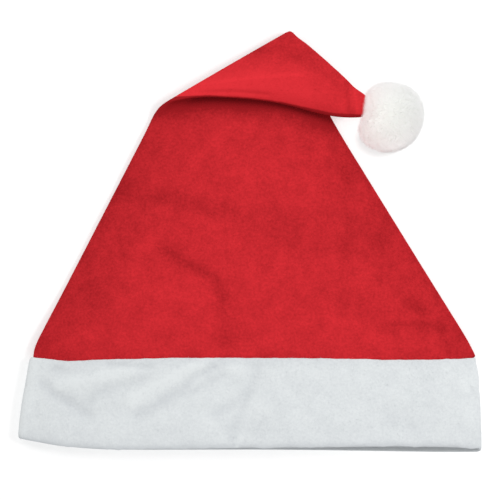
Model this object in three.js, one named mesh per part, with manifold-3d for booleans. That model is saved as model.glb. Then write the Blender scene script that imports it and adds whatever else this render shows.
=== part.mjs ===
// A felt Santa hat lying flat on a table: a red felt cone with its tip folded over to one side,
// a white band of doubled felt round its mouth, and a white pompom on its tip.
// Millimetres. +X runs across the hat, +Y from the mouth to the fold, and +Z up from the table.
import * as THREE from "three";
import { mergeVertices } from "three/addons/utils/BufferGeometryUtils.js";
import Module from "manifold-3d";

const { clamp, lerp, smoothstep } = THREE.MathUtils;

// Felt
const FELT = 1.2; // one layer
const BAND_FELT = 2.4; // the band is a doubled layer
const EDGE_BEND = 1.5; // how tightly the middle of the felt bends at the hat's two side edges
const SEAM_GAP = 0.35; // clear space between the crown and what is sewn to it
const EDGE = EDGE_BEND + FELT / 2; // from the centre of a side edge's bend to its outside
const SWELL_POWER = 2.6; // a swollen panel is flat in the middle and falls off towards its edges

// Mouth and band
const BAND_LIFT = BAND_FELT + SEAM_GAP; // the crown's under panel lies on the band there
const HEM_SHARE = 0.22; // how far down the band the crown's hem reaches, as a share of its height
const MOUTH_RISE = 16.5; // swell of the upper panel at the mouth
const SEAM_RISE = 15; // and where the crown comes out of the band
const BAND_SIDES = { seamLeft: -131.6, mouthLeft: -140.2, seamRight: 140.2, mouthRight: 142.3 };
const BAND_FLARE = 1.6; // the band flares out most just below the seam

// The band's two long edges, seen from above: the seam, and the mouth's upper and under rims
const BAND_EDGES = [
  { x: -146, seam: -71.2, upper: -121.2, under: -121.6 },
  { x: -128, seam: -72.8, upper: -124.8, under: -125.4 },
  { x: -110, seam: -74.9, upper: -127.0, under: -127.7 },
  { x: -91, seam: -73.9, upper: -128.6, under: -129.4 },
  { x: -40, seam: -72.8, upper: -128.4, under: -129.4 },
  { x: 0, seam: -72.8, upper: -127.6, under: -129.2 },
  { x: 45, seam: -73.1, upper: -127.3, under: -129.6 },
  { x: 95, seam: -74.1, upper: -126.8, under: -130.4 },
  { x: 124, seam: -73.6, upper: -127.5, under: -130.9 },
  { x: 146, seam: -72.4, upper: -128.4, under: -130.6 },
];

// How the band's felt lies from its seam to its mouth: share of its height, and how much of its
// thickness is there on the inside and on the outside of the fold at the mouth
const BAND_ROWS = [
  { share: 0, inside: 0.1, outside: 0.55 },
  { share: 0.05, inside: 0, outside: 0.86 },
  { share: 0.22, inside: 0, outside: 1 },
  { share: 0.4, inside: 0, outside: 1 },
  { share: 0.58, inside: 0, outside: 1 },
  { share: 0.76, inside: 0, outside: 1 },
  { share: 0.92, inside: 0, outside: 1 },
  { share: 0.985, inside: 0.06, outside: 0.94 },
  { share: 1, inside: 0.3, outside: 0.7 },
];

// Crown, from the seam to the fold
const BODY_STEPS = 13;
const BODY_LEFT = [new THREE.Vector3(-131.4, -66.5, 0), new THREE.Vector3(-62.2, 68.4, 0)];
const BODY_RIGHT = [
  new THREE.Vector3(139.4, -66.5, 0),
  new THREE.Vector3(52.8, 74.9, 0),
  new THREE.Vector3(29.0, 126.2, 0),
];
const BODY_RISE_POWER = 2.5; // how the swell dies away towards the fold
const BODY_LIFT_END = 0.3; // share of the way where the under panel has come down to the table

// The fold: the tube turns half over about a line that runs up to the right
const FOLD_BEND = 3.7; // radius of the fold at the middle of the flattened tube
const FOLD_STEPS = 6;
const FOLD_RISE = 0.6;
const FOLD_LEFT_OUT = new THREE.Vector3(-42.9, 85.9, 0);
const FOLD_RIGHT_OUT = new THREE.Vector3(31.4, 125.6, 0);

// The flap beyond the fold, back over the crown to the tip: its lower and upper edges, and its swell
const FLAP = [
  { lowX: -31, lowY: 88.0, lowZ: 11.7, highX: 36.1, highY: 122.4, highZ: 9.9, swell: 2.6 },
  { lowX: -15, lowY: 87.7, lowZ: 13.6, highX: 41.5, highY: 117.8, highZ: 9.6, swell: 4.6 },
  { lowX: 0, lowY: 86.5, lowZ: 14.8, highX: 46.9, highY: 113.0, highZ: 10.2, swell: 5.8 },
  { lowX: 15, lowY: 84.9, lowZ: 14.2, highX: 52.3, highY: 108.0, highZ: 10.4, swell: 6.0 },
  { lowX: 30, lowY: 81.8, lowZ: 12.6, highX: 57.9, highY: 102.9, highZ: 10.6, swell: 5.4 },
  { lowX: 44, lowY: 77.7, lowZ: 11.0, highX: 63.2, highY: 97.8, highZ: 11.2, swell: 4.4 },
  { lowX: 55.5, lowY: 75.4, lowZ: 11.6, highX: 66.5, highY: 93.8, highZ: 12.4, swell: 3.0 },
  { lowX: 63.4, lowY: 74.9, lowZ: 13.4, highX: 70.2, highY: 91.2, highZ: 14.0, swell: 2.6 },
  { lowX: 71.6, lowY: 74.8, lowZ: 15.6, highX: 74.4, highY: 87.9, highZ: 15.8, swell: 1.6 },
];
const TIP_ROUND = 0.9; // how far the closed tip bulges past the flap's last row
const TIP_CLOSE = 0.8; // and the share of the width that is left there

// Dents pressed into the felt along straight lines; a ridge has a depth below zero
const DENT_FADE_POWER = 8; // dents die away just before a panel's edge
const CROWN_DENTS = [
  { fromX: -80, fromY: 20, toX: 10, toY: 8, width: 14, depth: 1.8 },
  { fromX: -52, fromY: -12, toX: -17, toY: -32, width: 11, depth: 2.0 },
  { fromX: -17, fromY: -32, toX: -8, toY: -62, width: 11, depth: 1.4 },
  { fromX: 62, fromY: 40, toX: 66, toY: 8, width: 12, depth: 1.4 },
  { fromX: 78, fromY: -54, toX: 110, toY: -54, width: 10, depth: 1.5 },
  { fromX: 30, fromY: -18, toX: 70, toY: -40, width: 14, depth: 1.2 },
];
const FLAP_DENTS = [
  { fromX: -36, fromY: 93, toX: 34, toY: 102, width: 7, depth: -1.0 },
  { fromX: 26, fromY: 117, toX: 54, toY: 101, width: 9, depth: 1.2 },
  { fromX: 60, fromY: 77, toX: 62, toY: 98, width: 4, depth: 0.9 },
];
const BAND_DENTS = [
  { fromX: -128, fromY: -90, toX: -100, toY: -108, width: 10, depth: 1.9 },
  { fromX: -98, fromY: -102, toX: -66, toY: -88, width: 10, depth: 1.6 },
  { fromX: -72, fromY: -108, toX: -24, toY: -82, width: 9, depth: 1.9 },
  { fromX: -20, fromY: -108, toX: 4, toY: -86, width: 9, depth: 1.6 },
  { fromX: -8, fromY: -128, toX: 2, toY: -112, width: 8, depth: 1.5 },
  { fromX: 84, fromY: -112, toX: 104, toY: -112, width: 14, depth: 1.4 },
];

// Pompom: short blunt locks fused to a round head
const POMPOM_X = 87.4;
const POMPOM_Y = 74.0;
const POMPOM_RADIUS = 20.7;
const HEAD_RADIUS = 17.6;
const LOCKS = 66;
const LOCK_ROOT = 5.4; // radius where a lock leaves the head
const LOCK_END = 3.0; // radius of its blunt end
const LOCK_SIDES = 5;
const LOCK_UNEVEN = 0.9; // how much shorter the shortest lock is
const LOCK_BURIED = 0.8; // where a lock starts inside the head, as a share of the head's radius
const SOCKET_ROWS = 4; // how many of the flap's last rows the pompom's fibres close about
const GOLDEN_ANGLE = Math.PI * (3 - Math.sqrt(5)); // spreads the locks evenly over the head

// Steps round a ring of felt
const UPPER_STEPS = 26;
const UNDER_STEPS = 13;
const EDGE_STEPS = 4;
const MIDDLE_SPREAD = 1.15; // rings have more points near the edges, where the swell falls off

// Shape helpers

const clampedShare = (value, from, to) => clamp((value - from) / (to - from), 0, 1);

/** The value of a table's column at x, straight between rows. */
function column(rows, name, x) {
  const next = rows.findIndex((row) => row.x >= x);
  if (next === 0) return rows[0][name];
  if (next < 0) return rows[rows.length - 1][name];
  const [a, b] = [rows[next - 1], rows[next]];
  return lerp(a[name], b[name], (x - a.x) / (b.x - a.x));
}

/** How deep the dents are at a place seen from above. */
function dentDepth(dents, x, y) {
  return dents.reduce((sum, dent) => {
    const runX = dent.toX - dent.fromX;
    const runY = dent.toY - dent.fromY;
    const along = (x - dent.fromX) * runX + (y - dent.fromY) * runY;
    const share = clamp(along / (runX ** 2 + runY ** 2), 0, 1);
    const away = Math.hypot(x - dent.fromX - share * runX, y - dent.fromY - share * runY);
    return sum + dent.depth * Math.exp(-((away / dent.width) ** 2));
  }, 0);
}

const centroid = (points) =>
  points.reduce((sum, p) => sum.add(p), new THREE.Vector3()).divideScalar(points.length);

/** A point that runs evenly along straight lines between corners. */
function straightPath(corners) {
  const path = new THREE.CurvePath();
  corners.slice(1).forEach((corner, i) => path.add(new THREE.LineCurve3(corners[i], corner)));
  return path;
}

/**
 * One ring of felt round a flattened tube, offset from the middle of the felt layer.
 * The tube lies between its left and right edges. Its front panel swells by front and its back panel
 * by back, and turn is how far it has rolled over about the line from left to right.
 */
function feltRing({ left, right, turn = 0, front, back = 0, frontDents = [], backDents = [] }, offset) {
  const across = right.clone().sub(left);
  const half = across.length() / 2 - EDGE;
  across.normalize();
  const level = new THREE.Vector3(0, 0, 1).projectOnPlane(across).normalize();
  const sideways = across.clone().cross(level);
  const up = level.multiplyScalar(Math.cos(turn)).addScaledVector(sideways, Math.sin(turn));
  const middle = left.clone().add(right).multiplyScalar(0.5);
  const at = (x, y) => middle.clone().addScaledVector(across, x).addScaledVector(up, y);
  const edgeAngle = (swell) => Math.atan((SWELL_POWER * swell) / half);

  // A panel from one edge to the other; side is 1 for the front and -1 for the back
  const panel = (side, swell, dents, steps) => {
    const lean = edgeAngle(swell);
    const reach = half + EDGE_BEND * Math.sin(lean);
    return Array.from({ length: steps + 1 }, (_, i) => {
      const even = 1 - (2 * i) / steps;
      const u = (side * Math.sin(MIDDLE_SPREAD * even)) / Math.sin(MIDDLE_SPREAD);
      const height = EDGE_BEND * Math.cos(lean) + swell * (1 - Math.abs(u) ** SWELL_POWER);
      const slope = (-swell * SWELL_POWER * Math.abs(u) ** (SWELL_POWER - 1) * Math.sign(u)) / half;
      const steep = Math.hypot(1, slope);
      const place = at(u * reach, side * height);
      const inward = dentDepth(dents, place.x, place.y) * (1 - Math.abs(u) ** DENT_FADE_POWER);
      const thick = offset / steep;
      return at(u * reach - slope * thick, side * (height - inward + thick));
    });
  };

  // The round turn at an edge, without its first and last points, which belong to the panels
  const edge = (side, from, to) =>
    Array.from({ length: EDGE_STEPS - 1 }, (_, i) => {
      const angle = lerp(from, to, (i + 1) / EDGE_STEPS);
      const radius = EDGE_BEND + offset;
      return at(side * (half + radius * Math.cos(angle)), radius * Math.sin(angle));
    });

  const frontStart = Math.PI / 2 - edgeAngle(front);
  const backStart = -Math.PI / 2 + edgeAngle(back);
  return [
    ...panel(1, front, frontDents, UPPER_STEPS),
    ...edge(-1, frontStart, backStart),
    ...panel(-1, back, backDents, UNDER_STEPS),
    ...edge(1, backStart, frontStart),
  ];
}

/** A closed surface through rings, capped at both ends, or joined end to end when it is a loop. */
function loft(rings, loop = false) {
  const count = rings[0].length;
  const points = rings.flat();
  const index = [];
  const bays = loop ? rings.length : rings.length - 1;
  for (let i = 0; i < bays; i++) {
    const here = i * count;
    const next = ((i + 1) % rings.length) * count;
    for (let j = 0; j < count; j++) {
      const k = (j + 1) % count;
      index.push(here + j, next + k, here + k, here + j, next + j, next + k);
    }
  }
  const cap = (ring, start, flip) => {
    const centre = points.push(centroid(ring)) - 1;
    for (let j = 0; j < count; j++) {
      const [a, b] = [start + j, start + ((j + 1) % count)];
      index.push(centre, ...(flip ? [b, a] : [a, b]));
    }
  };
  if (!loop) {
    cap(rings[0], 0, false);
    cap(rings.at(-1), count * (rings.length - 1), true);
  }
  return new THREE.BufferGeometry().setFromPoints(points).setIndex(index);
}

// Crown and band sections

/** The flattened tube at the band, at a share of the way from the seam to the mouth. */
function bandSection(share) {
  const { seamLeft, mouthLeft, seamRight, mouthRight } = BAND_SIDES;
  const flare = 1 - (1 - share) ** BAND_FLARE;
  return {
    left: new THREE.Vector3(lerp(seamLeft, mouthLeft, flare), 0, EDGE + BAND_LIFT),
    right: new THREE.Vector3(lerp(seamRight, mouthRight, flare), 0, EDGE + BAND_LIFT),
    front: lerp(SEAM_RISE, MOUTH_RISE, share),
  };
}

/** A ring at the band: its points are drawn to the seam's and the mouth's edges, then dented. */
function bandRing(share, offset) {
  const ring = feltRing(bandSection(share), offset);
  const lowest = EDGE + BAND_LIFT;
  const highest = lowest + lerp(SEAM_RISE, MOUTH_RISE, share);
  return ring.map((p) => {
    const upper = clampedShare(p.z, lowest - EDGE_BEND, lowest + EDGE_BEND);
    const rim = lerp(column(BAND_EDGES, "under", p.x), column(BAND_EDGES, "upper", p.x), upper);
    const y = lerp(column(BAND_EDGES, "seam", p.x), rim, share);
    const pressed = clampedShare(p.z, lowest, highest) * dentDepth(BAND_DENTS, p.x, y);
    return new THREE.Vector3(p.x, y, p.z - pressed);
  });
}

/** The crown's sections from the seam to the fold. */
function bodySections() {
  const leftEdge = straightPath(BODY_LEFT);
  const rightEdge = straightPath(BODY_RIGHT);
  return Array.from({ length: BODY_STEPS + 1 }, (_, i) => {
    const share = i / BODY_STEPS;
    const lift = BAND_LIFT * (1 - smoothstep(share, 0, BODY_LIFT_END));
    const base = new THREE.Vector3(0, 0, EDGE + lift);
    return {
      left: leftEdge.getPoint(share).add(base),
      right: rightEdge.getPoint(share).add(base),
      front: lerp(SEAM_RISE, FOLD_RISE, share ** BODY_RISE_POWER),
      frontDents: CROWN_DENTS,
    };
  });
}

/** The sections where the crown turns half over, from the end of the body to the start of the flap. */
function foldSections() {
  const leftIn = BODY_LEFT.at(-1);
  const rightIn = BODY_RIGHT.at(-1);
  const line = rightIn.clone().sub(leftIn).normalize();
  const outward = new THREE.Vector3(-line.y, line.x, 0);
  return Array.from({ length: FOLD_STEPS }, (_, i) => {
    const share = (i + 1) / FOLD_STEPS;
    const turn = Math.PI * share;
    const height = EDGE + FOLD_BEND * (1 - Math.cos(turn));
    const place = (from, to) =>
      from.clone().lerp(to, share).addScaledVector(outward, FOLD_BEND * Math.sin(turn)).setZ(height);
    return {
      left: place(leftIn, FOLD_LEFT_OUT),
      right: place(rightIn, FOLD_RIGHT_OUT),
      turn,
      front: FOLD_RISE,
      back: FOLD_RISE * share,
    };
  });
}

/** The flap's sections, upside down on top of the crown, with the hat's back panel uppermost. */
function flapSections() {
  return FLAP.map((row) => ({
    left: new THREE.Vector3(row.lowX, row.lowY, row.lowZ),
    right: new THREE.Vector3(row.highX, row.highY, row.highZ),
    turn: Math.PI,
    front: FOLD_RISE / 2,
    back: row.swell,
    backDents: FLAP_DENTS,
  }));
}

/** A ring drawn in towards its middle and pushed on along the flap, to close the tip after two rings. */
function tipRing([before, ring], reach) {
  const middle = centroid(ring);
  const onward = middle.clone().sub(centroid(before)).setLength(reach);
  return ring.map((p) => middle.clone().lerp(p, TIP_CLOSE).add(onward));
}

const sections = [...bodySections(), ...foldSections(), ...flapSections()];

/** The felt's outer or inner side from the crown's hem to its closed tip. */
function crownSide(offset) {
  const hem = [HEM_SHARE, HEM_SHARE / 2, 0].map((share) => bandRing(share, offset));
  return [...hem, ...sections.map((section) => feltRing(section, offset))];
}

function crownGeometry() {
  const outside = crownSide(FELT / 2);
  const inside = crownSide(-FELT / 2).slice(0, -1);
  outside.push(tipRing(outside.slice(-2), TIP_ROUND));
  return loft([...inside.reverse(), ...outside]);
}

function bandGeometry() {
  const start = FELT / 2 + SEAM_GAP;
  const side = (name) => BAND_ROWS.map((row) => bandRing(row.share, start + BAND_FELT * row[name]));
  return loft([...side("inside"), ...side("outside").reverse()], true);
}

// Pompom

const wasm = await Module();
wasm.setup();

/** A closed geometry as a solid that can be joined and cut. */
function solidOf(geometry) {
  const bare = geometry.clone();
  bare.deleteAttribute("normal");
  bare.deleteAttribute("uv");
  const { attributes, index } = mergeVertices(bare);
  const vertProperties = attributes.position.array;
  const triVerts = new Uint32Array(index.array);
  return new wasm.Manifold(new wasm.Mesh({ numProp: 3, vertProperties, triVerts }));
}

function geometryOf(solid) {
  const { vertProperties, triVerts } = solid.getMesh();
  return new THREE.BufferGeometry()
    .setAttribute("position", new THREE.BufferAttribute(vertProperties, 3))
    .setIndex(new THREE.BufferAttribute(triVerts, 1));
}

/** A blunt lock of fibres that leaves the head in one direction. */
function lock(direction, reach) {
  const root = HEAD_RADIUS * LOCK_BURIED;
  const turn = new THREE.Quaternion().setFromUnitVectors(new THREE.Vector3(0, 1, 0), direction);
  return new THREE.CylinderGeometry(LOCK_END, LOCK_ROOT, reach - root, LOCK_SIDES)
    .translate(0, (reach + root) / 2, 0)
    .applyQuaternion(turn);
}

/** Directions spread evenly over a ball, along a spiral from its top to its bottom. */
function spiralDirections(count) {
  return Array.from({ length: count }, (_, i) => {
    const height = 1 - (2 * i + 1) / count;
    return new THREE.Vector3().setFromCylindricalCoords(Math.sqrt(1 - height ** 2), i * GOLDEN_ANGLE, height);
  });
}

/** The tip with the seam's gap all round it, as the pompom's fibres close about it. */
function tipSocket() {
  const rings = sections.slice(-SOCKET_ROWS).map((section) => feltRing(section, FELT / 2 + SEAM_GAP));
  rings.push(tipRing(rings.slice(-2), TIP_ROUND + SEAM_GAP));
  return solidOf(loft(rings));
}

function pompomGeometry() {
  let ball = solidOf(new THREE.IcosahedronGeometry(HEAD_RADIUS, 2));
  spiralDirections(LOCKS).forEach((direction, i) => {
    const reach = POMPOM_RADIUS - LOCK_UNEVEN * Math.sin(i * GOLDEN_ANGLE) ** 2;
    ball = ball.add(solidOf(lock(direction, reach)));
  });
  const rest = -ball.boundingBox().min[2];
  return geometryOf(ball.translate(POMPOM_X, POMPOM_Y, rest).subtract(tipSocket()));
}

// The hat

const RED_FELT = new THREE.MeshStandardMaterial({ color: "#c2282e", roughness: 0.95, metalness: 0 });
const WHITE_FELT = new THREE.MeshStandardMaterial({ color: "#dadedf", roughness: 0.95, metalness: 0 });
const WHITE_FIBRE = new THREE.MeshStandardMaterial({ color: "#efefed", roughness: 1, metalness: 0 });

function piece(name, geometry, material) {
  geometry.computeVertexNormals();
  const mesh = new THREE.Mesh(geometry, material);
  mesh.name = name;
  return mesh;
}

const hat = new THREE.Group();
hat.add(
  piece("crown", crownGeometry(), RED_FELT),
  piece("band", bandGeometry(), WHITE_FELT),
  piece("pompom", pompomGeometry(), WHITE_FIBRE),
);

// The origin is on the table, under the middle of the hat
const box = new THREE.Box3().setFromObject(hat);
const middle = box.getCenter(new THREE.Vector3());
hat.position.set(-middle.x, -middle.y, -box.min.z);

export default hat;
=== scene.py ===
"""A felt santa hat lying flat with its tip folded over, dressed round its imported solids."""
import math
from collections import namedtuple

import bpy
import numpy as np
from bpy.props import FloatProperty, FloatVectorProperty, IntProperty, PointerProperty
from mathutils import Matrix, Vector, noise
from mathutils.bvhtree import BVHTree


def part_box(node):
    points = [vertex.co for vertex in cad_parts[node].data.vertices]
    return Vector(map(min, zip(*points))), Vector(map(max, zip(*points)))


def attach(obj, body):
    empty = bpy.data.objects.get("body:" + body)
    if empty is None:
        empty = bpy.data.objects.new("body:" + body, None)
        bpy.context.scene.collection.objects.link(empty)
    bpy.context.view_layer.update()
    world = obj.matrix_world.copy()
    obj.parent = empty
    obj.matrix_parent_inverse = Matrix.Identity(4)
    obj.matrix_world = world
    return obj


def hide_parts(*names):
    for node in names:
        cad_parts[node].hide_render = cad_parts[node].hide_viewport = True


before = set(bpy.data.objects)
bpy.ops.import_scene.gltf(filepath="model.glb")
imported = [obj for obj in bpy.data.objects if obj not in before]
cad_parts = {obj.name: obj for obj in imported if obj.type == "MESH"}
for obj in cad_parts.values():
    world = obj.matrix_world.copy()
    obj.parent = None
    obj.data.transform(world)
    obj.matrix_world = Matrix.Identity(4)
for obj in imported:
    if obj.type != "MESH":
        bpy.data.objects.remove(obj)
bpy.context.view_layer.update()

bl_info = {
    "name": "Felt Santa Hat",
    "version": (1, 0, 0),
    "blender": (4, 5, 0),
    "location": "View3D > Sidebar > Santa Hat",
    "description": "Makes a felt santa hat with a band and a pompom, and its stage",
    "category": "Object",
}

MM = 0.001
LEFT, RIGHT = -1, 1

# The floor's width, and where each light hangs and how wide it is, in metres
Lamp = namedtuple("Lamp", "place size")

FLOOR_WIDTH = 8
MAIN_LIGHT = Lamp((0.98, 1.3, 2.9), 2.0)
LOW_LIGHT = Lamp((2.0, 0.2, 2.0), 0.8)
TOP_LIGHT = Lamp((0.45, 0.55, 2.5), 0.5)
CARD = Lamp((-1.35, -0.25, 0.41), 0.8)

# The sizes of the lumps in a surface and how far the pompom's middle waves, in millimetres
FELT_LUMPS = (14, 5)
CORE_LUMPS = (14, 6)
CORE_UNEVEN = 0.7

# How far the felt moves where it is sewn, in millimetres: the crown swells out over the right end of
# the band's rim, that end is drawn in, all but its edge, and so is the band's left end, first its outside
# and further down all of it
RIM_SWELL = 1.2
RIGHT_RIM_IN = 1.1
EDGE_LEFT_OUT = 0.6
LEFT_OUTSIDE_IN = 1.5
LEFT_END_IN = 1.9

# A loose fibre grows where nothing is this near over the felt and the floor is this far below,
# and its root is this deep, in millimetres
FIBRE_ROOM = 60
FIBRE_LOWEST = 1.2
FIBRE_ROOTED = 0.05

# Creases pressed into the felt, seen from above, in millimetres of the frame. Each runs straight
# from one point to another, is as deep as depth along its middle, and dies away over width.
# Where two meet, the deeper one counts. A depth below zero raises a ridge.
Crease = namedtuple("Crease", "from_x from_y to_x to_y width depth")

CROWN_CREASES = (
    Crease(-82, 30, -45, 23.5, 5.0, 0.4),
    Crease(-45, 23.5, -8, 16, 5.5, 0.45),
    Crease(-8, 16, 10, 12, 5.5, 0.35),
    Crease(-55, -5, -36, -15.5, 3.4, 0.6),
    Crease(-36, -15.5, -20, -24, 3.0, 0.85),
    Crease(-20, -24, -15, -37, 3.6, 0.6),
    Crease(-15, -37, -12, -64, 5.0, 0.4),
    Crease(-81, 5, -77, -10, 2.4, 0.35),
    Crease(-108, 0, -94, -26, 5.0, 0.3),
    Crease(-95, -36, -88, -38, 8.0, 0.35),
    Crease(59.5, 40, 63, 38.5, 3.6, 0.45),
    Crease(62, 14, 69, 11, 5.0, 0.4),
    Crease(20, 8, 76, -2, 12.0, 0.3),
    Crease(58, -40, 66, -42, 8.0, 0.35),
    Crease(100, -40, 105, -42, 4.0, 0.45),
    Crease(80, -55, 94, -51, 2.8, 0.5),
    Crease(94, -51, 119, -54, 3.0, 0.6),
    Crease(121, -61, 123, -70, 1.4, 0.4),
)

FLAP_CREASES = (
    Crease(-30, 96, 0, 99, 1.5, -0.55),
    Crease(0, 99, 33, 101, 1.7, -0.45),
    Crease(-30, 91.2, -10, 91.2, 1.4, 0.7),
    Crease(-10, 91.2, 12, 89.2, 1.3, 0.6),
    Crease(-4, 117, 8, 118, 2.6, 0.4),
    Crease(16, 117, 30, 111, 5.0, 0.35),
    Crease(30, 111, 44, 104, 4.0, 0.45),
    Crease(44, 104, 58, 93, 3.5, 0.5),
    Crease(60, 97, 61, 79, 1.6, 0.6),
    Crease(65, 93, 66, 78, 1.5, -0.4),
)

# How far the pompom reaches round its middle, seen from above, in degrees and millimetres.
# It is least where the crown's tip presses into it.
Reach = namedtuple("Reach", "angle reach")

POMPOM_OUTLINE = (
    Reach(0, 20.8),
    Reach(20, 21.8),
    Reach(40, 22.4),
    Reach(60, 22.1),
    Reach(80, 21.4),
    Reach(110, 21.7),
    Reach(130, 20.7),
    Reach(140, 18.6),
    Reach(150, 17.2),
    Reach(160, 16.2),
    Reach(170, 15.4),
    Reach(180, 16.2),
    Reach(190, 17.6),
    Reach(200, 19.9),
    Reach(215, 21.1),
    Reach(230, 21.6),
    Reach(250, 21.0),
    Reach(270, 20.8),
    Reach(290, 20.4),
    Reach(310, 20.5),
    Reach(330, 20.3),
    Reach(350, 20.5),
    Reach(360, 20.8),
)

# The turned tip's lower edge, seen from above, in millimetres of the frame
FLAP_EDGE_X = (-45, -25, 0, 20, 51, 71)
FLAP_EDGE_Y = (88, 88.5, 86.8, 84.3, 77.6, 76)

BAND_CREASES = (
    Crease(-128, -88, -112, -98.5, 3.4, 0.55),
    Crease(-112, -98.5, -98, -107, 3.6, 0.7),
    Crease(-101, -100.5, -85, -91, 3.6, 0.5),
    Crease(-85, -91, -65, -86, 3.2, 0.4),
    Crease(-67, -107, -42, -94, 3.8, 0.6),
    Crease(-42, -94, -34, -84, 3.0, 0.5),
    Crease(-34, -84, -21, -78.5, 2.6, 0.6),
    Crease(-38, -95, -17, -83.5, 2.6, 0.4),
    Crease(5.5, -79, -2, -98, 2.8, 0.5),
    Crease(-2, -98, -11, -121, 2.8, 0.45),
    Crease(-3, -97, -20, -107, 3.6, 0.35),
    Crease(-118, -79.5, -110, -81, 2.4, 0.45),
    Crease(-85, -76.5, -60, -78.5, 2.0, 0.45),
    Crease(89, -110, 100, -113, 6.0, 0.35),
    Crease(137, -92, 138.5, -94, 2.0, 0.45),
    Crease(-116, -90, -71, -81, 4.0, -0.5),
    Crease(-71, -98.5, -30, -76, 4.2, -0.6),
    Crease(-11, -80, -4, -80, 3.0, -0.3),
    Crease(122, -82, 134, -92, 4.0, -0.35),
    Crease(-10.8, -129.5, -7, -126.4, 1.3, -0.6),
    Crease(-7, -126.4, -4.6, -120.8, 1.5, -0.35),
)


def linear(hex_colour):
    """The linear red, green and blue of an sRGB hex colour."""
    shares = (int(hex_colour[i:i + 2], 16) / 255 for i in (1, 3, 5))
    return tuple(s / 12.92 if s <= 0.04045 else ((s + 0.055) / 1.055) ** 2.4 for s in shares)


def length_mm(label, about, default, least=0.0, most=2000.0):
    """A length setting that is typed and kept in millimetres."""
    return FloatProperty(name=f"{label} (mm)", description=about, default=default, min=least, max=most)


def colour(label, about, hex_colour):
    """A colour setting, from an sRGB hex value."""
    return FloatVectorProperty(
        name=label, description=about, subtype="COLOR", size=3, min=0, max=1,
        default=linear(hex_colour),
    )


class FeltSettings(bpy.types.PropertyGroup):
    """Sizes and colours of the crown's and the band's felt"""

    red: colour("Crown felt", "Colour of the crown's felt", "#d52d34")
    # Painted shade: the crown's darker colour for its creases, its folded sides and the shadow under the
    # tip
    red_painted_shade: colour("Crown felt, matted", "Colour where the crown's fibres are matted down", "#9a1a20")
    # Painted highlight: the tip's lighter colour stands for the sheen of its reversed nap, and lightens the
    # crown's loose fibre ends
    red_painted_highlight: colour("Crown felt, turned", "Colour of the tip, whose nap lies the other way", "#e03139")
    white: colour("Band felt", "Colour of the band's felt", "#e0e4e5")
    # Painted shade: the band's darker colour for its creases, its sewn rim, the mouth's lip and its loose
    # fibres' roots
    white_painted_shade: colour("Band felt, matted", "Colour where the band's fibres are matted down", "#cbcfd2")
    # Painted shade: the band's felt inside the mouth lies in shadow there
    white_painted_mouth_shade: colour("Band felt, turned in", "Colour of the band's felt inside the mouth", "#969b9e")
    levels: IntProperty(
        name="Subdivisions", description="How finely the felt's surface is divided",
        default=2, min=1, max=3,
    )
    uneven: length_mm("Unevenness", "How far the felt's surface waves in and out", 0.22, 0, 2)
    fibre_length: length_mm("Loose fibre", "Length of a loose fibre on the felt", 1.6, 0.2, 10)
    fibre_width: length_mm("Loose fibre width", "Width of a loose fibre on the felt", 0.06, 0.02, 1)
    crown_fibres: IntProperty(
        name="Crown's loose fibres", description="How many fibres stand off the crown's felt",
        default=9000, min=0, max=19000,
    )
    band_fibres: IntProperty(
        name="Band's loose fibres", description="How many fibres stand off the band's felt",
        default=6000, min=0, max=19000,
    )


class PompomSettings(bpy.types.PropertyGroup):
    """Sizes and colours of the pompom"""

    tip: colour("Fibre", "Colour of a fibre's end", "#d6d7d2")
    root: colour("Fibre root", "Colour of a fibre where it leaves the middle", "#d3d4cf")
    fibres: IntProperty(
        name="Fibres", description="How many fibres the pompom has", default=19800, min=100, max=19900,
    )
    tufts: IntProperty(
        name="Tufts", description="How many tufts the fibres draw together in",
        default=240, min=10, max=1000,
    )
    depth: length_mm("Fibre depth", "How deep below the outline the fibres leave the middle", 2.8, 0.1, 20)
    fibre_width: length_mm("Fibre width", "Width of a fibre at its root", 0.18, 0.05, 3)
    stray: length_mm("Stray", "How far the longest fibres stand out of the outline", 2.2, 0, 10)
    uneven: length_mm("Unevenness", "How much shorter than those the shortest fibre is", 1.8, 0, 10)


class StageSettings(bpy.types.PropertyGroup):
    """The floor, the light and the camera"""

    floor: colour("Floor", "Colour of the floor", "#dadada")
    glow: FloatProperty(
        name="Floor's own light", description="Light that comes up through the floor, as on a light table",
        default=0.25, min=0,
    )
    sky: FloatProperty(
        name="Surrounding light", description="Strength of the light all round", default=0.66, min=0,
    )
    key: FloatProperty(
        name="Main light", description="Power of the large soft light", default=56, min=0, unit="POWER",
    )
    low: FloatProperty(
        name="Floor's light", description="Power of the lower light on the floor", default=26, min=0,
        unit="POWER",
    )
    top: FloatProperty(
        name="Top light", description="Power of the light on the floor that the pompom shades",
        default=25, min=0, unit="POWER",
    )
    card: FloatProperty(
        name="Card's light", description="Power of the light that a card throws back on the pompom",
        default=12.5, min=0, unit="POWER",
    )
    height: FloatProperty(
        name="Camera height", description="Angle of the camera above the floor",
        default=math.radians(87), subtype="ANGLE", unit="ROTATION",
    )
    distance: FloatProperty(
        name="Camera distance", description="From the camera to the hat", default=1.5, unit="LENGTH",
    )
    view_width: FloatProperty(
        name="Width in view", description="How much of the floor the picture is across",
        default=0.31, unit="LENGTH",
    )
    aim_x: length_mm("Aim across", "Where the camera looks, across the hat", 0.96, -500, 500)
    aim_y: length_mm("Aim along", "Where the camera looks, along the hat", -5.5, -500, 500)


class HatSettings(bpy.types.PropertyGroup):
    """All the hat's settings"""

    felt: PointerProperty(type=FeltSettings)
    pompom: PointerProperty(type=PompomSettings)
    stage: PointerProperty(type=StageSettings)


def fade(distance, reach):
    """1 where a distance is nought, falling smoothly to hardly anything at twice the reach."""
    return np.exp(-((distance / reach) ** 2))


def ramp(value, start, end):
    """0 up to the start, 1 from the end on, and evenly rising between them."""
    return np.clip((value - start) / (end - start), 0, 1)


def unit(ways):
    """Directions made one long."""
    return ways / np.linalg.norm(ways, axis=1)[:, None]


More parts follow.
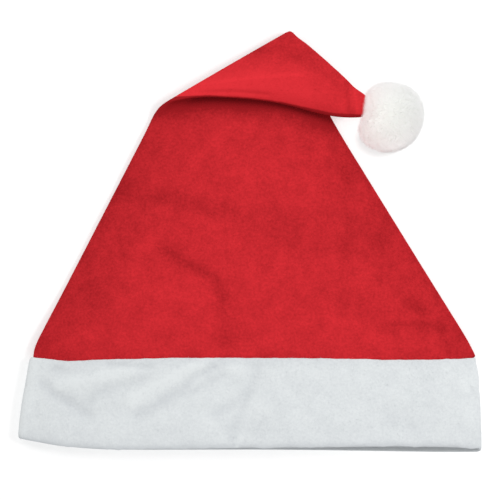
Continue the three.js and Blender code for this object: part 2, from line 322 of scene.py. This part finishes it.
def only(piece):
    """Makes a piece the only one that is selected, and the active one."""
    bpy.ops.object.select_all(action="DESELECT")
    piece.select_set(True)
    bpy.context.view_layer.objects.active = piece


def points_of(piece):
    """Where a piece's vertices are, as an array."""
    flat = np.empty(len(piece.data.vertices) * 3)
    piece.data.vertices.foreach_get("co", flat)
    return flat.reshape(-1, 3)


def normals_of(piece):
    """Which way a piece's vertices face, as an array."""
    flat = np.empty(len(piece.data.vertices) * 3)
    piece.data.vertices.foreach_get("normal", flat)
    return flat.reshape(-1, 3)


def move_points(piece, places):
    """Puts a piece's vertices at new places."""
    piece.data.vertices.foreach_set("co", places.astype(np.float32).ravel())
    piece.data.update()


def tree_of(piece):
    """A piece's surface, to be searched by rays and nearest points."""
    piece.data.calc_loop_triangles()
    triangles = piece.data.loop_triangles
    return BVHTree.FromPolygons(
        [v.co for v in piece.data.vertices], [t.vertices for t in triangles], all_triangles=True,
    )


def keep_value(piece, name, values):
    """Keeps a number for each vertex as an attribute that a material can read."""
    piece.data.attributes.new(name, "FLOAT", "POINT")
    piece.data.attributes[name].data.foreach_set("value", np.asarray(values, np.float32))


def felt_over(node, name, levels):
    """A copy of a solid's felt wall with its triangles merged, paired and finely divided."""
    piece = bpy.data.objects.new(name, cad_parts[node].data.copy())
    bpy.context.scene.collection.objects.link(piece)
    piece.data.materials.clear()
    only(piece)
    bpy.ops.mesh.customdata_custom_splitnormals_clear()
    bpy.ops.object.mode_set(mode="EDIT")
    bpy.ops.mesh.select_all(action="SELECT")
    bpy.ops.mesh.remove_doubles(threshold=0.001 * MM)
    bpy.ops.mesh.tris_convert_to_quads(face_threshold=math.pi, shape_threshold=math.pi)
    bpy.ops.object.mode_set(mode="OBJECT")
    bpy.ops.object.modifier_add(type="SUBSURF")
    piece.modifiers[-1].levels = levels
    piece.modifiers[-1].render_levels = levels
    bpy.ops.object.modifier_apply(modifier=piece.modifiers[-1].name)
    bpy.ops.object.shade_smooth()
    return piece


def shown_from_above(piece, cover=()):
    """How much each vertex faces up with nothing of the piece or its cover over it, from 0 to 1.

    The wall's other face, just under such a place, counts as much, so that the wall keeps its thickness.
    """
    trees = [tree_of(p) for p in (piece, *cover)]
    steep = normals_of(piece)[:, 2]
    share = ramp(steep, 0, 0.5)
    up = Vector((0, 0, 1))
    starts = [Vector(place) + up * (0.1 * MM) for place in points_of(piece)]
    for i in np.flatnonzero(steep > 0):
        if any(tree.ray_cast(starts[i], up)[0] for tree in trees):
            share[i] = 0
    triangles = [list(t.vertices) for t in piece.data.loop_triangles]
    for i in np.flatnonzero(steep < -0.2):
        over = trees[0].ray_cast(starts[i], up, 4 * MM)[2]
        if over is not None:
            share[i] = share[triangles[over]].mean()
    return share


def divide_where(piece, wanted, cuts):
    """Divides the faces among the wanted vertices again, so that fine creases have points to move."""
    mesh = piece.data
    edges = np.empty(len(mesh.edges) * 2, np.int32)
    mesh.edges.foreach_get("vertices", edges)
    mesh.vertices.foreach_set("select", wanted)
    mesh.edges.foreach_set("select", wanted[edges.reshape(-1, 2)].all(axis=1))
    mesh.polygons.foreach_set("select", [bool(wanted[list(f.vertices)].all()) for f in mesh.polygons])
    only(piece)
    bpy.ops.object.mode_set(mode="EDIT")
    bpy.ops.mesh.subdivide(number_cuts=cuts)
    bpy.ops.object.mode_set(mode="OBJECT")


def press_creases(piece, creases, share):
    """Presses creases straight down into the vertices that share says.

    Gives how deep each vertex went, in millimetres.
    """
    places = points_of(piece)
    valley = np.zeros(len(places))
    ridge = np.zeros(len(places))
    for crease in creases:
        start = np.array((crease.from_x, crease.from_y)) * MM
        run = np.array((crease.to_x, crease.to_y)) * MM - start
        along = np.clip(((places[:, :2] - start) @ run) / (run @ run), 0, 1)
        away = np.linalg.norm(places[:, :2] - start - along[:, None] * run, axis=1)
        depth = crease.depth * MM * share * fade(away, crease.width * MM)
        valley = np.maximum(valley, depth)
        ridge = np.minimum(ridge, depth)
    places[:, 2] -= valley + ridge
    move_points(piece, places)
    return (valley + ridge) / MM


def roughen(piece, share, depth, sizes):
    """Waves a surface in and out along its normals, by noise with lumps of each size.

    The depth and the sizes are in millimetres.
    """
    places, faces = points_of(piece), normals_of(piece)
    for size in sizes:
        waves = np.array([noise.noise(Vector(p) / (size * MM)) for p in places])
        places += faces * (waves * share * (depth * MM) / len(sizes))[:, None]
    move_points(piece, places)


def beyond_flap_edge(piece):
    """How far each vertex lies beyond the turned tip's lower edge, in millimetres."""
    places = points_of(piece) / MM
    return places[:, 1] - np.interp(places[:, 0], FLAP_EDGE_X, FLAP_EDGE_Y)


def inside_sides(piece):
    """How far each vertex of a piece is from its nearer side, seen from above, in millimetres."""
    places = points_of(piece) / MM
    row = np.round(places[:, 1] / 3).astype(int)
    row -= row.min()
    least, most = np.full(row.max() + 1, 1e9), np.full(row.max() + 1, -1e9)
    np.minimum.at(least, row, places[:, 0])
    np.maximum.at(most, row, places[:, 0])
    return np.minimum(places[:, 0] - least[row], most[row] - places[:, 0])


def near_side(piece, side, reach):
    """How near each vertex of a piece is to its left or right side, seen from above, from 0 to 1."""
    return fade(inside_sides(piece), reach) * (points_of(piece)[:, 0] * side > 0)


def near_edge(places, among, reach):
    """How near each place is to the furthest along Y of some in its column, from 0 to 1.

    The places and the reach are in millimetres, and a column is 4 mm wide.
    """
    column = np.round(places[:, 0] / 4).astype(int)
    column -= column.min()
    edge = np.full(column.max() + 1, -1e9)
    np.maximum.at(edge, column[among], places[among, 1])
    return fade(edge[column] - places[:, 1], reach)


def sewn_rim(band, reach=4):
    """How near each vertex of the band is to the rim that is sewn to the crown, from 0 to 1."""
    places = points_of(band) / MM
    return near_edge(places, np.full(len(places), True), reach)


def upper_lip(band, shown, reach):
    """How near each vertex of the band is to the mouth's upper lip, from 0 to 1."""
    places = points_of(band) / MM * (1, -1, 1)
    return near_edge(places, (shown > 0) & (places[:, 2] > 4), reach)


def wave_edges(band, shown):
    """Waves the sewn rim and the mouth's upper lip to and fro, as cut felt does."""
    places = points_of(band)
    rim = sewn_rim(band)
    lip = fade(places[:, 1] - places[:, 1].min(), 6 * MM) * shown * ramp(places[:, 2] / MM, 3, 7)
    for near, size, depth in ((rim, 9, 0.3), (rim, 3, 0.2), (lip, 11, 0.9), (lip, 4, 0.9)):
        waves = np.array([noise.noise(Vector((p[0] / (size * MM), 3.7, size))) for p in places])
        places[:, 1] += waves * near * depth * MM
    move_points(band, places)


def draw_in_ends(band):
    """Draws the band in at its ends: on the right where it is sewn, and on the left below the crown's hem.

    Near the crown only the outside moves, so that the inside stays clear of the hem.
    """
    places = points_of(band)
    across = places[:, 0] / MM
    facing = normals_of(band)[:, 0]
    right = ramp(across, 132, 136) * ramp(facing, 0, 0.4)
    # The rim's very edge, where the wall is thinnest, moves only part of the way
    right_in = RIGHT_RIM_IN * sewn_rim(band, 7) - EDGE_LEFT_OUT * sewn_rim(band, 2)
    left = ramp(-across, 120, 130)
    outside = ramp(-facing, 0, 0.4)
    below_rim = (places[across < -128, 1].max() - places[:, 1]) / MM
    outside_in = LEFT_OUTSIDE_IN * outside
    below_hem = (1 - fade(below_rim, 20)) ** 3
    left_in = outside_in * (1 - fade(below_rim, 9)) + (LEFT_END_IN - outside_in) * below_hem
    places[:, 0] += (left_in * left - right_in * right) * MM
    move_points(band, places)


def swell_over_rim(crown, band):
    """Swells the crown's right side over the end of the band's rim, where it is divided again first."""
    at_end = points_of(band)[:, 0] > 137 * MM
    rim = points_of(band)[at_end, 1].max()
    above = (points_of(crown)[:, 1] - rim) / MM
    divide_where(crown, (near_side(crown, RIGHT, 6) > 0.3) & (above > -0.5) & (above < 2.2), cuts=2)
    places = points_of(crown)
    above = (places[:, 1] - rim) / MM
    swell = near_side(crown, RIGHT, 6) * ramp(above, 0.2, 0.7) * fade(above, 4.2)
    places[:, 0] += swell * RIM_SWELL * MM
    move_points(crown, places)


def slivers(name, rings, tips, width):
    """One mesh of thin closed three-sided slivers, each through two ring centres to a tip.

    rings holds the root and the middle centres, tips the ends, and width the root's full width.
    """
    root, middle = rings
    count = len(root)
    run = unit(tips - root)
    # Any direction serves here that no sliver lies along
    across = unit(np.cross(run, np.array((0.31, 0.23, 0.92))))
    other = np.cross(run, across)
    corners = []
    for centre, radius in ((root, width / 2), (middle, width * 0.36)):
        for turn in (0, 2 * math.pi / 3, 4 * math.pi / 3):
            side = across * math.cos(turn) + other * math.sin(turn)
            corners.append(centre + side * radius)
    points = np.stack((*corners, tips), axis=1).reshape(-1, 3)
    # The faces of one sliver: its root's end, then each side's lower and upper part
    one = [(0, 2, 1)]
    for side in range(3):
        after = (side + 1) % 3
        one += [(side, after, after + 3, side + 3), (side + 3, after + 3, 6)]
    starts = np.arange(count)[:, None] * 7
    triangles = np.concatenate([starts + np.array(f) for f in one if len(f) == 3])
    quads = np.concatenate([starts + np.array(f) for f in one if len(f) == 4])
    mesh = bpy.data.meshes.new(name)
    mesh.from_pydata(points.tolist(), [], triangles.tolist() + quads.tolist())
    piece = bpy.data.objects.new(name, mesh)
    bpy.context.scene.collection.objects.link(piece)
    keep_value(piece, "along", np.tile((0, 0, 0, 0.55, 0.55, 0.55, 1), count))
    only(piece)
    bpy.ops.object.shade_smooth()
    return piece


def loose_fibres(felt, name, count, settings, seed):
    """Fibres that lie and stand a little off the outside of a felt piece."""
    draw = np.random.default_rng(seed)
    felt.data.calc_loop_triangles()
    triangles = np.empty(len(felt.data.loop_triangles) * 3, np.int32)
    felt.data.loop_triangles.foreach_get("vertices", triangles)
    places, faces = points_of(felt), normals_of(felt)
    corners = places[triangles.reshape(-1, 3)]
    areas = np.linalg.norm(
        np.cross(corners[:, 1] - corners[:, 0], corners[:, 2] - corners[:, 0]), axis=1,
    )
    tree = tree_of(felt)
    outside = []
    while len(outside) < count:
        chosen = draw.choice(len(areas), size=count, p=areas / areas.sum())
        mix = draw.dirichlet((1, 1, 1), size=count)
        at = (corners[chosen] * mix[:, :, None]).sum(axis=1)
        facing = unit((faces[triangles.reshape(-1, 3)[chosen]] * mix[:, :, None]).sum(axis=1))
        for p, n in zip(at, facing):
            clear = tree.ray_cast(Vector(p + n * 0.2 * MM), Vector(n), FIBRE_ROOM * MM)[0] is None
            if clear and p[2] > FIBRE_LOWEST * MM:
                outside.append((p, n))
    at = np.array([p for p, n in outside[:count]])
    facing = np.array([n for p, n in outside[:count]])
    lying = unit(np.cross(facing, draw.normal(size=(count, 3))))
    length = settings.fibre_length * MM * draw.uniform(0.5, 1.3, size=(count, 1))
    lift = draw.uniform(0.03, 0.25, size=(count, 1))
    root = at - facing * FIBRE_ROOTED * MM
    middle = at + lying * length * 0.5 + facing * length * lift
    tips = at + lying * length + facing * length * lift * draw.uniform(0.4, 1.2, size=(count, 1))
    for places in (middle, tips):
        places[:, 2] = np.maximum(places[:, 2], 0.1 * MM)
    return slivers(name, (root, middle), tips, settings.fibre_width * MM)


def spiral(count):
    """Directions spread evenly over a ball along a spiral."""
    turn = np.arange(count) * math.pi * (3 - math.sqrt(5))
    height = 1 - 2 * (np.arange(count) + 0.5) / count
    wide = np.sqrt(1 - height**2)
    return np.stack((wide * np.cos(turn), wide * np.sin(turn), height), axis=1)


def pompom_reach(ways, tall):
    """How far the pompom reaches from its middle in given directions."""
    angle = np.degrees(np.arctan2(ways[:, 1], ways[:, 0])) % 360
    angles, reaches = zip(*POMPOM_OUTLINE)
    wide = np.interp(angle, angles, reaches) * MM
    return 1 / np.hypot(np.hypot(ways[:, 0], ways[:, 1]) / wide, ways[:, 2] / tall)


def clear_of(tree, place):
    """Whether a point is outside a closed surface and off it."""
    nearest, facing, _, away = tree.find_nearest(Vector(place))
    return away > 0.5 * MM and (Vector(place) - nearest).dot(facing) > 0


def add_node(tree, kind, inputs=None, **settings):
    """Adds a node with its settings, and fills or links its inputs.

    A Mix node's inputs go by number: 0 is the share, 2 and 3 are its numbers, 6 and 7 its colours.
    """
    made = tree.nodes.new(kind)
    for key, value in settings.items():
        setattr(made, key, value)
    for key, value in (inputs or {}).items():
        if isinstance(value, bpy.types.NodeSocket):
            tree.links.new(value, made.inputs[key])
        else:
            made.inputs[key].default_value = value
    return made


def start_material(name):
    """A material of that name with an empty node tree."""
    made = bpy.data.materials.new(name)
    made.use_nodes = True
    made.node_tree.nodes.clear()
    return made, made.node_tree


def felt_material(name, base, matted, turned):
    """Needle-punched polyester felt: matt, cloudy where fibres are matted, with a fine fibrous grain.

    The matted colour is painted shade for creases and other shaded places, and ridges are painted lighter.
    The turned colour is painted light: a painted highlight on the tip that is turned over, for the sheen of
    its reversed nap, and painted shade on the felt in at the mouth.
    """
    made, tree = start_material(name)
    place = add_node(tree, "ShaderNodeTexCoord").outputs["Object"]
    # Clouds about 11 mm across, where the punching matted the fibres more or less
    clouds = add_node(tree, "ShaderNodeTexNoise", {
        "Vector": place, "Scale": 1 / (11 * MM), "Detail": 3.0, "Roughness": 0.6,
    })
    # Fibres are about 0.03 mm wide, too fine to show, so the grain is drawn 1.5 mm wide
    grain = add_node(tree, "ShaderNodeTexNoise", {
        "Vector": place, "Scale": 1 / (1.5 * MM), "Detail": 4.0, "Roughness": 0.7,
    })
    mixed = add_node(tree, "ShaderNodeMix", {
        0: 0.62, 2: clouds.outputs[0], 3: grain.outputs[0],
    }, data_type="FLOAT")
    spread = add_node(tree, "ShaderNodeMapRange", {
        "Value": mixed.outputs[0], "From Min": 0.36, "From Max": 0.64, "To Min": 0.36, "To Max": 0.96,
    })
    # Painted shade: creases, the shadow under the tip, the folded sides, the band's rim and lip go towards
    # the matted colour, and ridges away from it
    painted_shading = add_node(tree, "ShaderNodeAttribute", attribute_name="painted_shading")
    unshaded_share = add_node(tree, "ShaderNodeMath", {
        0: painted_shading.outputs["Fac"], 1: -0.5, 2: spread.outputs[0],
    }, operation="MULTIPLY_ADD", use_clamp=True)
    tint = add_node(tree, "ShaderNodeMix", {
        0: unshaded_share.outputs[0], 6: (*matted, 1), 7: (*base, 1),
    }, data_type="RGBA")
    # Painted light: the turned colour, a painted highlight on the tip and painted shade inside the mouth
    painted_light_tint = add_node(tree, "ShaderNodeMix", {
        0: unshaded_share.outputs[0], 6: (*base, 1), 7: (*turned, 1),
    }, data_type="RGBA")
    share = add_node(tree, "ShaderNodeAttribute", attribute_name="turned")
    tint = add_node(tree, "ShaderNodeMix", {
        0: share.outputs["Fac"], 6: tint.outputs[2], 7: painted_light_tint.outputs[2],
    }, data_type="RGBA")
    bump = add_node(tree, "ShaderNodeBump", {
        "Height": mixed.outputs[0], "Strength": 0.4, "Distance": 0.6 * MM,
    })
    surface = add_node(tree, "ShaderNodeBsdfPrincipled", {
        "Base Color": tint.outputs[2], "Roughness": 0.95, "Specular IOR Level": 0.05,
        "Sheen Weight": 0.05, "Sheen Roughness": 0.6, "Sheen Tint": (*base, 1),
        "Normal": bump.outputs[0],
    })
    add_node(tree, "ShaderNodeOutputMaterial", {"Surface": surface.outputs[0]})
    return made


def fibre_material(name, root, tip, clear=0.0):
    """Loose polyester fibre: matt, painted a little darker at its root and lighter at its end, as painted
    shade and a painted highlight, and lit through if it is clear.
    """
    made, tree = start_material(name)
    along = add_node(tree, "ShaderNodeAttribute", attribute_name="along")
    tint = add_node(tree, "ShaderNodeMix", {
        0: along.outputs["Fac"], 6: (*root, 1), 7: (*tip, 1),
    }, data_type="RGBA")
    surface = add_node(tree, "ShaderNodeBsdfPrincipled", {
        "Base Color": tint.outputs[2], "Roughness": 0.9, "Specular IOR Level": 0.0,
        "Subsurface Weight": clear, "Subsurface Radius": (1.0, 1.0, 1.0), "Subsurface Scale": 0.5 * MM,
    })
    add_node(tree, "ShaderNodeOutputMaterial", {"Surface": surface.outputs[0]})
    return made


def wadding_material(name, tint):
    """Matted polyester fibre: light spreads through it, so it is white with hardly a shaded side."""
    made, tree = start_material(name)
    place = add_node(tree, "ShaderNodeTexCoord").outputs["Object"]
    # Fibre ends show as fluff about 0.9 mm across
    fluff = add_node(tree, "ShaderNodeTexNoise", {
        "Vector": place, "Scale": 1 / (0.9 * MM), "Detail": 3.0, "Roughness": 0.6,
    })
    bump = add_node(tree, "ShaderNodeBump", {
        "Height": fluff.outputs[0], "Strength": 0.25, "Distance": 0.4 * MM,
    })
    surface = add_node(tree, "ShaderNodeBsdfPrincipled", {
        "Base Color": (*tint, 1), "Roughness": 1.0, "Specular IOR Level": 0.0,
        "Subsurface Weight": 1.0, "Subsurface Radius": (1.0, 1.0, 1.0), "Subsurface Scale": 40 * MM,
        "Normal": bump.outputs[0],
    })
    add_node(tree, "ShaderNodeOutputMaterial", {"Surface": surface.outputs[0]})
    return made


def floor_material(name, tint, glow):
    """Opal acrylic sheet lit from below: an even matt white that keeps shadows faint."""
    made, tree = start_material(name)
    surface = add_node(tree, "ShaderNodeBsdfPrincipled", {
        "Base Color": (*tint, 1), "Roughness": 1.0, "Specular IOR Level": 0.0,
        "Emission Color": (1, 1, 1, 1), "Emission Strength": glow,
    })
    add_node(tree, "ShaderNodeOutputMaterial", {"Surface": surface.outputs[0]})
    return made


class SANTA_HAT_OT_stage(bpy.types.Operator):
    """Adds the pale floor, the soft light and the camera"""

    bl_idname = "santa_hat.stage"
    bl_label = "Floor, light and camera"

    def execute(self, context):
        stage = context.scene.santa_hat.stage
        bpy.ops.object.select_all(action="DESELECT")
        bpy.ops.mesh.primitive_plane_add(size=FLOOR_WIDTH)
        floor = context.active_object
        floor.name = "floor"
        floor.data.materials.append(floor_material("opal_acrylic", stage.floor, stage.glow))
        self.sky(context.scene, stage.sky)
        self.lights(stage, floor)
        self.camera(context.scene, stage)
        return {"FINISHED"}

    def sky(self, scene, strength):
        """Puts an even white light all round."""
        world = bpy.data.worlds.new("studio")
        world.use_nodes = True
        background = world.node_tree.nodes["Background"]
        background.inputs["Color"].default_value = (1, 1, 1, 1)
        background.inputs["Strength"].default_value = strength
        scene.world = world
        scene.view_settings.view_transform = "Standard"

    def lights(self, stage, floor):
        """Adds the lights, each on the hat, the floor or the pompom alone."""
        # The main light shines on all but the floor
        main = self.light("main_light", MAIN_LIGHT, stage.key)
        main.light_linking.receiver_collection = self.group("lit_by_main", floor)
        left_out = main.light_linking.receiver_collection.collection_objects[0]
        left_out.light_linking.link_state = "EXCLUDE"
        # Two shine on the floor alone: the felt shades the low one and the pompom the one nearly overhead,
        # so that each throws a short soft shadow
        low = self.light("low_light", LOW_LIGHT, stage.low)
        low.light_linking.receiver_collection = self.group("lit_floor", floor)
        low.light_linking.blocker_collection = self.group("shades_floor")
        top = self.light("top_light", TOP_LIGHT, stage.top)
        top.light_linking.receiver_collection = low.light_linking.receiver_collection
        top.light_linking.blocker_collection = self.group("shades_beside_pompom")
        # A white card throws light on the pompom alone
        card = self.light("card", CARD, stage.card)
        card.light_linking.receiver_collection = self.group("lit_by_card")
        card.light_linking.blocker_collection = card.light_linking.receiver_collection

    def light(self, name, lamp, power):
        """Adds a round soft light that is turned to the middle of the floor."""
        place = Vector(lamp.place)
        bpy.ops.object.light_add(
            type="AREA", location=place, rotation=place.to_track_quat("Z", "Y").to_euler(),
        )
        light = bpy.context.active_object
        light.name = name
        light.data.shape = "DISK"
        light.data.size = lamp.size
        light.data.energy = power
        light.visible_camera = False
        return light

    def group(self, name, *pieces):
        """A collection for a light to shine on or be shaded by. Other pieces join it as they are made."""
        made = bpy.data.collections.new(name)
        for piece in pieces:
            made.objects.link(piece)
        return made

    def camera(self, scene, stage):
        """Adds the camera, which looks down on the hat."""
        aim = Vector((stage.aim_x, stage.aim_y, 0)) * MM
        back = Vector((0, -math.cos(stage.height), math.sin(stage.height)))
        bpy.ops.object.camera_add(
            location=aim + back * stage.distance, rotation=(-back).to_track_quat("-Z", "Y").to_euler(),
        )
        camera = bpy.context.active_object
        camera.name = "camera"
        camera.data.lens = camera.data.sensor_width * stage.distance / stage.view_width
        camera.data.clip_end = 20
        scene.camera = camera


class SANTA_HAT_OT_band(bpy.types.Operator):
    """Makes the white felt band, with its creases and loose fibres"""

    bl_idname = "santa_hat.band"
    bl_label = "Band"

    def execute(self, context):
        felt = context.scene.santa_hat.felt
        band = felt_over("band", "band_felt", felt.levels + 1)
        shown = shown_from_above(band)
        roughen(band, shown, felt.uneven, FELT_LUMPS)
        painted_shading = press_creases(band, BAND_CREASES, shown)
        wave_edges(band, shown)
        draw_in_ends(band)
        # Painted shade in the creases, along the sewn rim and the mouth's lip, with ridges and the left end
        # painted lighter
        keep_value(band, "painted_shading", painted_shading * 1.4 + self.matted(band, shown))
        # Painted shade on the felt inside the mouth, which faces up under the upper lip
        keep_value(band, "turned", (shown == 0) & (normals_of(band)[:, 2] > 0.3))
        band.data.materials.append(
            felt_material("needle_felt_white", felt.white, felt.white_painted_shade, felt.white_painted_mouth_shade)
        )
        nap = loose_fibres(band, "band_nap", felt.band_fibres, felt, seed=12)
        # Painted shade at the roots of the band's loose fibres
        nap.data.materials.append(fibre_material("felt_fibre_white", felt.white_painted_shade, felt.white))
        for piece in (band, nap):
            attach(piece, "root")
        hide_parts("band")
        bpy.data.collections["shades_floor"].objects.link(band)
        return {"FINISHED"}

    def matted(self, band, shown):
        """How much painted shade the felt gets: more along the sewn rim and the mouth's lip, and less, so
        painted lighter, at the left end.
        """
        lip = (shown > 0) * (upper_lip(band, shown, 2.6) * 1.5 + upper_lip(band, shown, 14) * 0.25)
        return sewn_rim(band) * 0.7 + lip - near_side(band, LEFT, 7)


class SANTA_HAT_OT_crown(bpy.types.Operator):
    """Makes the red felt crown, with its creases and loose fibres"""

    bl_idname = "santa_hat.crown"
    bl_label = "Crown"

    def execute(self, context):
        felt = context.scene.santa_hat.felt
        band_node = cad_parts["band"]
        crown = felt_over("crown", "crown_felt", felt.levels)
        swell_over_rim(crown, bpy.data.objects["band_felt"])
        shown = shown_from_above(crown, cover=[band_node])
        divide_where(crown, (shown > 0) & (beyond_flap_edge(crown) > -0.3), cuts=2)
        shown = shown_from_above(crown, cover=[band_node])
        beyond = beyond_flap_edge(crown)
        on_tip = ramp(beyond, -2, 0)
        roughen(crown, shown, felt.uneven, FELT_LUMPS)
        painted_shading = press_creases(crown, CROWN_CREASES, shown * (1 - on_tip))
        painted_shading += press_creases(crown, FLAP_CREASES, shown * on_tip)
        # Painted shade in the creases, along the folded sides and as a shadow under the tip, with ridges
        # painted lighter
        keep_value(crown, "painted_shading", painted_shading + self.matted(crown, shown, beyond, on_tip))
        # Painted highlight along the turned tip's lower edge, for the sheen of its reversed nap
        keep_value(crown, "turned", self.painted_tip_highlight(crown, shown, beyond))
        crown.data.materials.append(
            felt_material("needle_felt_red", felt.red, felt.red_painted_shade, felt.red_painted_highlight)
        )
        nap = loose_fibres(crown, "crown_nap", felt.crown_fibres, felt, seed=11)
        # Painted highlight on the ends of the crown's loose fibres
        nap.data.materials.append(fibre_material("felt_fibre_red", felt.red, felt.red_painted_highlight))
        for piece in (crown, nap):
            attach(piece, "root")
        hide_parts("crown")
        bpy.data.collections["shades_floor"].objects.link(crown)
        return {"FINISHED"}

    def matted(self, crown, shown, beyond, on_tip):
        """How much painted shade the felt gets: a little along its sides, where it is folded and curves
        down, and a painted shadow under the tip.
        """
        away = inside_sides(crown)
        sides = (1 - on_tip / 2) * (0.48 * fade(away, 30) + 0.25 * fade(away, 5))
        # Painted shadow on the body below the tip's lower edge, along that edge, and on the felt hidden
        # under the tip
        under = np.where(beyond < 0, fade(beyond, 9), fade(beyond, 0.8))
        under[(beyond > 0) & (shown == 0)] = 1
        return sides + under * 1.8

    def painted_tip_highlight(self, crown, shown, beyond):
        """How much painted highlight the tip gets, for the sheen of its reversed nap: most along its lower
        edge, and less towards the pompom.
        """
        upper = ramp(beyond, 6.25, 31.25)
        end = np.minimum(ramp(points_of(crown)[:, 0] / MM, 36, 66), 0.55)
        return ramp(beyond, 0.5, 1.3) * (shown > 0) * (1 - upper) * (1 - end)


class SANTA_HAT_OT_pompom(bpy.types.Operator):
    """Makes the pompom: a tied core and the fibres that grow from it"""

    bl_idname = "santa_hat.pompom"
    bl_label = "Pompom"

    def execute(self, context):
        settings = context.scene.santa_hat.pompom
        low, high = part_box("pompom")
        centre = np.array((low + high) / 2)
        crown = tree_of(bpy.data.objects["crown_felt"])
        core = self.core(settings, centre, crown)
        fibres = self.fibres(settings, centre, crown)
        core.data.materials.append(wadding_material("pompom_wadding_white", settings.root))
        fibres.data.materials.append(
            fibre_material("pompom_fibre_white", settings.root, settings.tip, clear=1.0)
        )
        # Fibres this fine let the light through to the middle
        fibres.visible_shadow = False
        fibres.visible_diffuse = False
        for piece in (core, fibres):
            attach(piece, "root")
            bpy.data.collections["lit_by_card"].objects.link(piece)
        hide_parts("pompom")
        bpy.data.collections["shades_beside_pompom"].objects.link(core)
        return {"FINISHED"}

    def core(self, settings, centre, crown):
        """The matted middle, a lumpy ball dented where the crown's tip goes in."""
        bpy.ops.object.select_all(action="DESELECT")
        bpy.ops.mesh.primitive_ico_sphere_add(subdivisions=5, radius=centre[2], location=centre)
        core = bpy.context.active_object
        core.name = "pompom_core"
        bpy.ops.object.transform_apply(location=True, rotation=True, scale=True)
        bpy.ops.object.shade_smooth()
        out = (points_of(core) - centre) / centre[2]
        out *= (pompom_reach(out, centre[2]) - settings.depth * MM)[:, None]
        move_points(core, out + centre)
        roughen(core, 1.0, CORE_UNEVEN, CORE_LUMPS)
        places = points_of(core) - centre
        for place in places:
            while not clear_of(crown, centre + place):
                place *= 0.97
        move_points(core, places + centre)
        return core

    def fibres(self, settings, centre, crown):
        """Fibres drawn together in tufts, cut to a ball and parted where the crown's tip goes in."""
        draw = np.random.default_rng(5)
        count = settings.fibres
        out = unit(spiral(count) + draw.normal(scale=0.02, size=(count, 3)))
        tufts = spiral(settings.tufts)
        near = np.argmax(out @ tufts.T, axis=1)
        ends = unit(out * 0.7 + tufts[near] * 0.3 + draw.normal(scale=0.06, size=(count, 3)))
        cut = 0.85 * np.sqrt(draw.uniform(size=count)) + 0.15 * draw.uniform(size=settings.tufts)[near]
        reach = pompom_reach(ends, centre[2]) + (settings.stray - settings.uneven * cut) * MM
        root = centre + out * (pompom_reach(out, centre[2]) - (settings.depth + 1.5) * MM)[:, None]
        tips = centre + ends * reach[:, None]
        bend = np.cross(ends, draw.normal(size=(count, 3))) * 0.5 * MM
        middle = root * 0.42 + tips * 0.58 + bend
        for places in (root, middle, tips):
            places[:, 2] = np.maximum(places[:, 2], 0.25 * MM)
        kept = np.array([
            all(clear_of(crown, p) for p in (r, m, (m + t) / 2, t))
            for r, m, t in zip(root, middle, tips)
        ])
        return slivers("pompom_fibres", (root[kept], middle[kept]), tips[kept], settings.fibre_width * MM)


class SANTA_HAT_PT_pieces(bpy.types.Panel):
    """Lists the hat's pieces and settings"""

    bl_label = "Santa Hat"
    bl_idname = "SANTA_HAT_PT_pieces"
    bl_space_type = "VIEW_3D"
    bl_region_type = "UI"
    bl_category = "Santa Hat"

    def draw(self, context):
        settings = context.scene.santa_hat
        for operator in OPERATORS:
            self.layout.operator(operator.bl_idname)
        for group in (settings.felt, settings.pompom, settings.stage):
            box = self.layout.box()
            for name in group.__annotations__:
                box.prop(group, name)


OPERATORS = (SANTA_HAT_OT_stage, SANTA_HAT_OT_band, SANTA_HAT_OT_crown, SANTA_HAT_OT_pompom)
CLASSES = (FeltSettings, PompomSettings, StageSettings, HatSettings, *OPERATORS, SANTA_HAT_PT_pieces)


def register():
    for made in CLASSES:
        bpy.utils.register_class(made)
    bpy.types.Scene.santa_hat = PointerProperty(type=HatSettings)


def unregister():
    del bpy.types.Scene.santa_hat
    for made in reversed(CLASSES):
        bpy.utils.unregister_class(made)


def main():
    register()
    bpy.ops.santa_hat.stage()
    bpy.ops.santa_hat.band()
    bpy.ops.santa_hat.crown()
    bpy.ops.santa_hat.pompom()
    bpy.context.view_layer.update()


if __name__ == "__main__":
    main()
